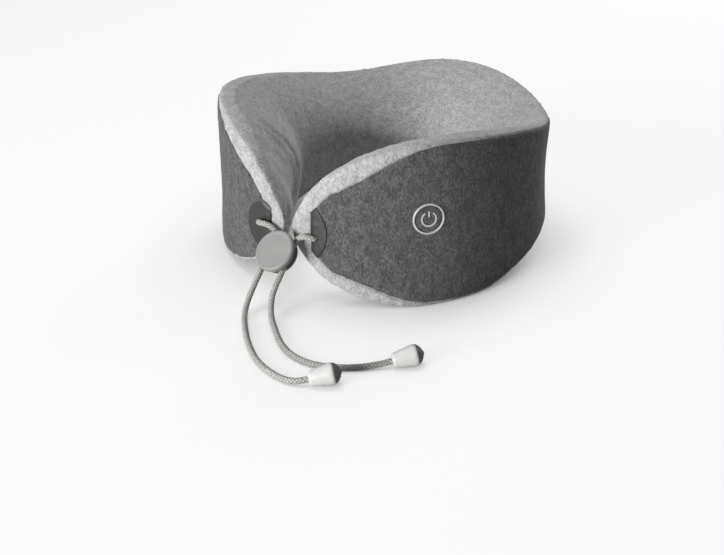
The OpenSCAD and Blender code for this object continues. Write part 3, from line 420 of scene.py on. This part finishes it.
def section_at(angle):
    """The section's sizes at an angle, on a smooth cubic through the sections given above."""
    angle = min(max(angle, 0), sections[-1][0])
    k = max(i for i in range(len(sections) - 1) if sections[i][0] <= angle)

    def slope(i):
        if i == 0:
            return [0.0] * 6
        a, b = sections[i - 1], sections[min(i + 1, len(sections) - 1)]
        return [(q - p) / (b[0] - a[0]) for p, q in zip(a, b)]
    p, q, h = sections[k], sections[k + 1], sections[k + 1][0] - sections[k][0]
    u = (angle - p[0]) / h
    return [(2 * u ** 3 - 3 * u * u + 1) * a + (u ** 3 - 2 * u * u + u) * h * s
            + (3 * u * u - 2 * u ** 3) * b + (u ** 3 - u * u) * h * t
            for a, b, s, t in zip(p, q, slope(k), slope(k + 1))]


def power(x, e):
    return math.copysign(abs(x) ** e, x)


def soft_step(x, low, high):
    t = min(max((x - low) / (high - low), 0), 1)
    return t * t * (3 - 2 * t)


def foam_surface(phi, v):
    """A point of the cover: phi runs round the plan from the back, v from the neck side over the top."""
    angle, (sine, cosine) = abs(phi), (math.sin(math.radians(phi)), math.cos(math.radians(phi)))
    _, top, bottom, thick, ridge, pinch = section_at(angle)
    bottom = max(bottom, 0)
    cv, sv = math.cos(math.radians(v)), math.sin(math.radians(v))
    if cv >= 0:
        inset = ridge + (thick - ridge) * abs(cv) ** (upper_fullness if sv >= 0 else lower_fullness)
    else:
        inset = ridge - ridge * abs(cv) ** wall_squareness + pinch * cv * cv
    k = min(max((angle - nose_start) / (nose_end - nose_start), 0), 1)
    shrink = (1 - k ** nose_power) ** (1 / nose_power)
    core = thick * nose_inset
    inset = core + (inset - core) * shrink
    depth = back_depth if angle < 90 else front_depth
    gx = power(sine, 2 - 2 / plan_power) / half_width
    gy = power(cosine, 2 - 2 / plan_power) / depth
    g = math.hypot(gx, gy)
    side = closure_shift * soft_step(angle, 100, 180)
    return Vector((half_width * power(sine, 2 / plan_power) + side - gx / g * inset,
                   depth * power(cosine, 2 / plan_power) - gy / g * inset + plan_shift,
                   (top + bottom) / 2 + (top - bottom) / 2 * sv * shrink)) * MM


def seam_lines(phi):
    """Where the top and the bottom seam lie round the section at an angle. The left one stays lower."""
    angle, rise = abs(phi), 2 if phi < 0 else 28
    top = 98 + 8 * soft_step(angle, 40, 95) + 36 * soft_step(angle, 122, 168)
    top += 16 * soft_step(angle, 164, 174)
    bottom = 262 - 6 * soft_step(angle, 40, 95) - rise * soft_step(angle, 122, 160)
    return top, bottom - 18 * soft_step(angle, 164, 174)


def crowded(t, share=0.6):
    """Spreads rows over 0 to 1 so that they lie closer at both ends, along the seams."""
    return t - share * math.sin(math.tau * t) / math.tau


# The cover's grid: rows run along the arms and lie closer over the noses
arm_rows, nose_rows, wall_lines, neck_lines = 66, 12, 40, 56
half_rows, all_lines = arm_rows + nose_rows, wall_lines + neck_lines
arm_length, girth = 0.4, 0.34
bm = bmesh.new()
bmesh.ops.create_grid(bm, x_segments=2 * half_rows, y_segments=all_lines, size=1)
weave = bm.loops.layers.uv.new("weave")
slack_group = bm.verts.layers.deform.verify()
for face in bm.faces:
    middle = face.calc_center_median()
    on_wall = (middle.y + 1) / 2 * all_lines < wall_lines
    reach = nose_rows / 2 if middle.x < 0 else nose_rows / 3
    face.material_index = 0 if on_wall and abs(middle.x) * half_rows < arm_rows + reach else 1
    for corner in face.loops:
        corner[weave].uv = (corner.vert.co.x * arm_length, (corner.vert.co.y + 1) / 2 * girth)
for vert in bm.verts:
    row, line = vert.co.x * half_rows, (vert.co.y + 1) / 2 * all_lines
    row = round(abs(row)) * (1 if row > 0 else -1)
    angle = nose_start * min(abs(row), arm_rows) / arm_rows
    if abs(row) > arm_rows:
        angle += (nose_end - nose_start) * math.sin((abs(row) - arm_rows) / nose_rows * math.pi / 2)
    phi = math.copysign(angle, row)
    top, bottom = seam_lines(phi)
    line = round(line)
    if line <= wall_lines:
        v = top + (bottom - top) * crowded(line / wall_lines)
    else:
        v = bottom + (360 + top - bottom) * crowded((line - wall_lines) / neck_lines)
    vert.co = foam_surface(phi, v)
    # The fabric is loose where the arms curl in to the noses, and held everywhere else
    neck_side = max(math.cos(math.radians(v)), 0)
    vert[slack_group][0] = 1 - 0.9 * soft_step(angle, 118, 150) * (0.25 + 0.75 * neck_side)
bmesh.ops.remove_doubles(bm, verts=bm.verts, dist=0.02 * MM)
bmesh.ops.recalc_face_normals(bm, faces=bm.faces)
cover_mesh = bpy.data.meshes.new("cover")
bm.to_mesh(cover_mesh)
bm.free()


def settled(mesh, frames, cap):
    """The cover after a short cloth simulation with a little air in it, no point moving further than cap."""
    cover = bpy.data.objects.new("cover", mesh)
    bpy.context.scene.collection.objects.link(cover)
    cover.vertex_groups.new(name="held")
    rest = [v.co.copy() for v in mesh.vertices]
    cloth = cover.modifiers.new("cloth", "CLOTH")
    fabric = cloth.settings
    fabric.quality, fabric.mass = 4, 0.3
    fabric.tension_stiffness = fabric.compression_stiffness = 15
    fabric.shear_stiffness, fabric.bending_stiffness = 8, 0.3
    fabric.use_pressure, fabric.uniform_pressure_force = True, 3
    fabric.effector_weights.gravity = 0
    fabric.vertex_group_mass = "held"
    fabric.pin_stiffness = 1.5
    fabric.shrink_min = -0.035
    scene = bpy.context.scene
    for moment in range(1, frames + 1):
        scene.frame_set(moment)
    seen = cover.evaluated_get(bpy.context.evaluated_depsgraph_get())
    for vert, place, moved in zip(mesh.vertices, rest, seen.data.vertices):
        shift = moved.co - place
        vert.co = place + shift * min(1, cap / max(shift.length, 1e-9))
    cover.modifiers.clear()
    bpy.data.objects.remove(cover)
    scene.frame_set(1)


settled(cover_mesh, 20, 2.5 * MM)

# Seams: the two panels dip to a thread line, and the fabric puckers a little along it
cover_mesh = shaped(cover_mesh, ("SUBSURF", {"levels": 1, "render_levels": 1}))
bm = bmesh.new()
bm.from_mesh(cover_mesh)
bm.normal_update()
seam = [e for e in bm.edges if len(e.link_faces) == 2
        and e.link_faces[0].material_index != e.link_faces[1].material_index]
seam_points = kdtree.KDTree(2 * len(seam))
for n, edge in enumerate(seam):
    seam_points.insert(edge.verts[0].co, 2 * n)
    seam_points.insert((edge.verts[0].co + edge.verts[1].co) / 2, 2 * n + 1)
seam_points.balance()
seam_depth, seam_width, pucker_width = 1.1 * MM, 1.1 * MM, 5 * MM
pucker_length, swell_length, fold_height = 5 * MM, 28 * MM, 0.5 * MM
moves = []
for vert in bm.verts:
    away = seam_points.find(vert.co)[2]
    dip = -seam_depth * math.exp(-(away / seam_width) ** 2)
    ripple = noise.noise(vert.co / pucker_length) * fold_height * math.exp(-(away / pucker_width) ** 2)
    swell = noise.noise(vert.co / swell_length) * fold_height
    moves.append(vert.normal * (dip + ripple + swell))
for vert, move in zip(bm.verts, moves):
    vert.co += move
bm.to_mesh(cover_mesh)


def panel_of(which):
    """One panel of the cover as a sheet of its own."""
    part = bmesh.new()
    part.from_mesh(cover_mesh)
    others = [f for f in part.faces if f.material_index != which]
    bmesh.ops.delete(part, geom=others, context="FACES")
    mesh = bpy.data.meshes.new("panel")
    part.to_mesh(mesh)
    part.free()
    return mesh


def heathered_knit(name, stops, sheen):
    """Brushed polyester knit of mixed dark and light fibres: matt, fuzzy and mottled, with short streaks
    down the wales. Its flecks are drawn 1.5 mm wide, as fine as shows, and its loops 1.1 mm."""
    material, tree = blank(name)
    place = add(tree, "TexCoord").outputs["Object"]
    wales = add(tree, "Mapping", {"Vector": place, "Scale": (1, 1, 0.65)})
    flecks = add(tree, "TexNoise", {"Vector": wales.outputs[0], "Scale": 1 / (1.5 * MM),
                                    "Detail": 3.0, "Roughness": 0.65})
    clouds = add(tree, "TexNoise", {"Vector": wales.outputs[0], "Scale": 1 / (6 * MM), "Detail": 2.0})
    mix = add(tree, "Math", {0: flecks.outputs["Fac"], 1: 0.72, 2: 0.0}, operation="MULTIPLY_ADD")
    mix = add(tree, "Math", {0: clouds.outputs["Fac"], 1: 0.28, 2: mix.outputs[0]},
              operation="MULTIPLY_ADD")
    loops = add(tree, "Mapping", {"Vector": add(tree, "UVMap", uv_map="weave").outputs["UV"],
                                  "Scale": (1 / (1.1 * MM), 1 / (1.1 * MM), 1)})
    rows = add(tree, "TexWave", {"Vector": loops.outputs[0], "Scale": 0.32, "Distortion": 1.5,
                                 "Detail": 1.0})
    fuzz = add(tree, "TexNoise", {"Vector": place, "Scale": 1 / (0.5 * MM), "Detail": 2.0})
    height = add(tree, "Math", {0: rows.outputs["Fac"], 1: 0.3, 2: fuzz.outputs["Fac"]},
                 operation="MULTIPLY_ADD")
    height = add(tree, "Math", {0: flecks.outputs["Fac"], 1: 0.8, 2: height.outputs[0]},
                 operation="MULTIPLY_ADD")
    lift = add(tree, "Bump", {"Strength": 0.35, "Distance": 0.16 * MM, "Height": height.outputs[0]})
    cloth = add(tree, "BsdfPrincipled", {"Base Color": ramp(tree, mix.outputs[0], stops), "Roughness": 0.95,
                                         "Specular IOR Level": 0.12, "Sheen Weight": sheen,
                                         "Sheen Roughness": 0.5, "Normal": lift.outputs[0]})
    add(tree, "OutputMaterial", {"Surface": cloth.outputs[0]})
    return material


dark_knit = heathered_knit("heathered_knit_dark", [(0.36, "#3c3c3c"), (0.5, "#535353"),
                                                   (0.66, "#6c6c6c")], 0.1)
pale_knit = heathered_knit("heathered_knit_pale", [(0.36, "#888888"), (0.5, "#a2a2a2"),
                                                   (0.66, "#bababa")], 0.12)
fabric_depth = {"thickness": 1 * MM, "offset": -1.0, "use_rim": True}

# The dark panel is cut for the button, the charging socket and the two cords
button_place = facing(Vector((106.681, -88.976, 73.304)) * MM, (0.776067, -0.630619, -0.006245))
socket_place = facing(Vector((79.032, 110.226, 62)) * MM, (0.553957, 0.832546, 0))
button_cut_radius, cord_hole_radius, socket_cut_size = 12, 3.0, (9.4, 15.4, 14)
cuts = [rod(button_cut_radius, -8, 8, button_place)]
for route in (left_route, right_route):
    start = Vector(route[0]) * MM
    cuts.append(rod(cord_hole_radius, 0, 12, facing(start, Vector(route[1]) * MM - start), 24))
socket_cut = bmesh.new()
bmesh.ops.create_cube(socket_cut, size=1, matrix=socket_place
                      @ Matrix.Diagonal((*(side * MM for side in socket_cut_size), 1)))
cuts.append(socket_cut)
outer = shaped(panel_of(0), ("SOLIDIFY", fabric_depth), *cuts_with(cuts))
cover_outer = piece("cover_outer_panel", outer, dark_knit, "collar", "dark_felt", "outer_panel")
inner = shaped(panel_of(1), ("SOLIDIFY", fabric_depth))
cover_inner = piece("cover_neck_panel", inner, pale_knit, "collar", "light_felt", "inner_panel", "foam_core")
cover_surface = BVHTree.FromBMesh(bm)


# ---- Nose patches ------------------------------------------------------------------------
# A half-round patch of smooth coated cloth stiffens each nose where its cord comes out. It is cut
# on an arc, and bonded to the dark panel up to the seam.
coated_cloth = moulded("coated_cloth_dark", "#262626", "#202020", 0.5, 0.8)
arc_sides, patch_reach, patch_gap, eyelet_radius = 72, 60 * MM, 0.15 * MM, 2.8
for side, route, arc_radius, arc_middle in (("left", left_route, 20, (5, 0, -2)),
                                           ("right", right_route, 29, (-19, 0, 4))):
    start, second = Vector(route[0]) * MM, Vector(route[1]) * MM
    hole = rod(eyelet_radius, 0, 14, facing(start, second - start), 32)
    sheet = panel_of(0)
    part = bmesh.new()
    part.from_mesh(sheet)
    part.normal_update()
    far = [v for v in part.verts if (v.co - start).length > patch_reach]
    bmesh.ops.delete(part, geom=far, context="VERTS")
    for turn in (math.tau * n / arc_sides for n in range(arc_sides)):
        out = Vector((math.cos(turn), 0, math.sin(turn)))
        bmesh.ops.bisect_plane(part, geom=[*part.verts, *part.edges, *part.faces], clear_outer=True,
                               plane_co=start + (Vector(arc_middle) + out * arc_radius) * MM, plane_no=out)
    rims = {v for e in part.edges if e.is_boundary for v in e.verts}
    bmesh.ops.smooth_vert(part, verts=[v for v in part.verts if v not in rims], factor=0.5,
                          use_axis_x=True, use_axis_y=True, use_axis_z=True)
    part.normal_update()
    for vert in part.verts:
        vert.co += vert.normal * patch_gap
    part.to_mesh(sheet)
    part.free()
    patch = shaped(sheet, ("SOLIDIFY", {"thickness": 0.8 * MM, "offset": 1.0, "use_rim": True}),
                   *cuts_with([hole]),
                   ("BEVEL", {"width": 0.25 * MM, "segments": 2, "angle_limit": math.radians(50)}))
    piece(side + "_nose_patch", patch, coated_cloth, "collar", "patch_leatherette", side + "_patch")


# ---- Power button ------------------------------------------------------------------------
# A thin satin bezel ring is glued on the cover round the button. Inside it the same knit covers the
# key, which clicks in under a thumb, and carries a raised power symbol in soft plastic.
def draped(shape, place):
    """Carries a flat shape to the cover, each point at its height above the cloth."""
    out = (place.to_3x3() @ Vector((0, 0, 1))).normalized()
    for vert in shape.verts:
        flat = place @ Vector((vert.co.x, vert.co.y, 0))
        hit = cover_surface.ray_cast(flat + out * 20 * MM, -out)[0]
        vert.co = (hit or flat) + out * vert.co.z
    return shape


satin_bezel = moulded("satin_abs_bezel", "#bdbdbd", "#b3b3b3", 0.36, 0.4)
ring_profile = [(10.9, -2.5), (10.9, 0.6), (11.2, 0.95), (12.1, 0.95), (12.5, 0.5), (12.5, -2.5),
                (10.9, -2.5)]
piece("button_bezel", draped(turned(rounded(ring_profile, 0.2, 2), 96), button_place), satin_bezel,
      "collar", "bezel_grey", "button_ring")
cushion = turned(rounded([(0, 0.45), (8, 0.4), (10.1, 0.1), (10.7, -0.8), (10.7, -2.4), (0, -2.4)], 0.6), 72)
bmesh.ops.subdivide_edges(cushion, edges=[e for e in cushion.edges if e.calc_length() > 1.5 * MM], cuts=3,
                          use_grid_fill=True)
piece("button_knit_cover", draped(cushion, button_place), dark_knit, "key", "dark_felt", "button_cover")

# The symbol: a ring open at the top and a bar in the gap; -X is up on the button
symbol = bmesh.new()
stroke, symbol_radius, opening = 1.3 * MM, 5.6 * MM, math.radians(33)
relief, lift_off = 0.55 * MM, 0.3 * MM
corners = [symbol.verts.new((-symbol_radius - r, 0, z)) for r, z in
           ((-stroke / 2, 0), (-stroke / 2, relief), (stroke / 2, relief), (stroke / 2, 0))]
tip = symbol.faces.new(corners)
bmesh.ops.rotate(symbol, verts=symbol.verts, cent=(0, 0, 0), matrix=Matrix.Rotation(opening, 3, "Z"))
bmesh.ops.spin(symbol, geom=[tip], cent=(0, 0, 0), axis=(0, 0, 1), angle=math.tau - 2 * opening, steps=56,
               use_duplicate=False)
bar = bmesh.ops.create_cube(symbol, size=1, matrix=Matrix.Translation((-4.1 * MM, 0, relief / 2))
                            @ Matrix.Diagonal((4.4 * MM, stroke, relief, 1)))
bmesh.ops.subdivide_edges(symbol, edges=list({e for v in bar["verts"] for e in v.link_edges}), cuts=2,
                          use_grid_fill=True)
for vert in symbol.verts:
    vert.co.z += lift_off
bmesh.ops.recalc_face_normals(symbol, faces=symbol.faces)
symbol_mesh = bpy.data.meshes.new("symbol")
draped(symbol, button_place).to_mesh(symbol_mesh)
symbol.free()
symbol_mesh = shaped(symbol_mesh, ("BEVEL", {"width": 0.15 * MM, "segments": 2,
                                              "angle_limit": math.radians(50)}))
piece("power_symbol", symbol_mesh, satin_bezel, "key", "bezel_grey", "power_icon")
bm.free()


# ---- Working parts inside the collar -----------------------------------------------------
# The gearbox, motor, massage heads, boards and battery keep their CAD shapes and are finished as
# they come: moulded housings, turned shafts and brass, rubber knobs, wrapped cells and leads.
def metal(name, tint, shade, roughness, streak):
    """Turned or drawn metal: bright, with fine streaks that the tool leaves."""
    material, tree = blank(name)
    place = add(tree, "Mapping", {"Vector": add(tree, "TexCoord").outputs["Object"], "Scale": (1, 1, 0.1)})
    lines = add(tree, "TexNoise", {"Vector": place.outputs[0], "Scale": 1 / (streak * MM), "Detail": 2.0})
    lift = add(tree, "Bump", {"Strength": 0.2, "Distance": 0.02 * MM, "Height": lines.outputs["Fac"]})
    bright = add(tree, "BsdfPrincipled", {
        "Base Color": ramp(tree, lines.outputs["Fac"], [(0.35, shade), (0.65, tint)]),
        "Metallic": 1.0, "Roughness": roughness, "Normal": lift.outputs[0]})
    add(tree, "OutputMaterial", {"Surface": bright.outputs[0]})
    return material


finishes = {
    "foam": moulded("moulded_foam", "#e6dcb4", "#d8cda2", 0.95, 0.9),
    "patch_leatherette": coated_cloth,
    "dark_felt": dark_knit,
    "light_felt": pale_knit,
    "cord_braid": braid,
    "cap_grey": satin_abs,
    "disc_grey": disc_abs,
    "bezel_grey": satin_bezel,
    "dark_plastic": barrel_abs,
    "grey_plastic": moulded("housing_abs_grey", "#8a8c8e", "#7f8183", 0.5, 0.6),
    "gear_plastic": moulded("acetal_natural", "#ece6d6", "#e2dbc8", 0.35, 0.5),
    "knob_rubber": moulded("knob_rubber_red", "#a8442e", "#983a27", 0.6, 0.8),
    "silicone": moulded("silicone_clear", "#dcdcda", "#cfcfcd", 0.45, 0.5),
    "mesh_cloth": moulded("knitted_mesh_black", "#2c2c2c", "#1d1d1d", 0.9, 1.2),
    "lead_rubber": moulded("lead_jacket_black", "#2a2a2a", "#222222", 0.5, 0.4),
    "cell_wrap": moulded("heat_shrink_blue", "#2b5f9e", "#265690", 0.35, 0.5),
    "board": moulded("solder_mask_green", "#1f5c36", "#194d2c", 0.3, 0.3),
    "steel": metal("plated_steel", "#c8c9cb", "#b2b3b6", 0.3, 0.25),
    "motor_steel": metal("drawn_steel_can", "#b3b4b7", "#9fa0a3", 0.4, 0.4),
    "brass": metal("turned_brass", "#c9a55c", "#b48f48", 0.35, 0.25)}
for subpart in frame["record"]["subparts"]:
    node = frame["nodes"][subpart["node"]]
    node.data.materials.clear()
    node.data.materials.append(finishes[subpart["material_slot"]])
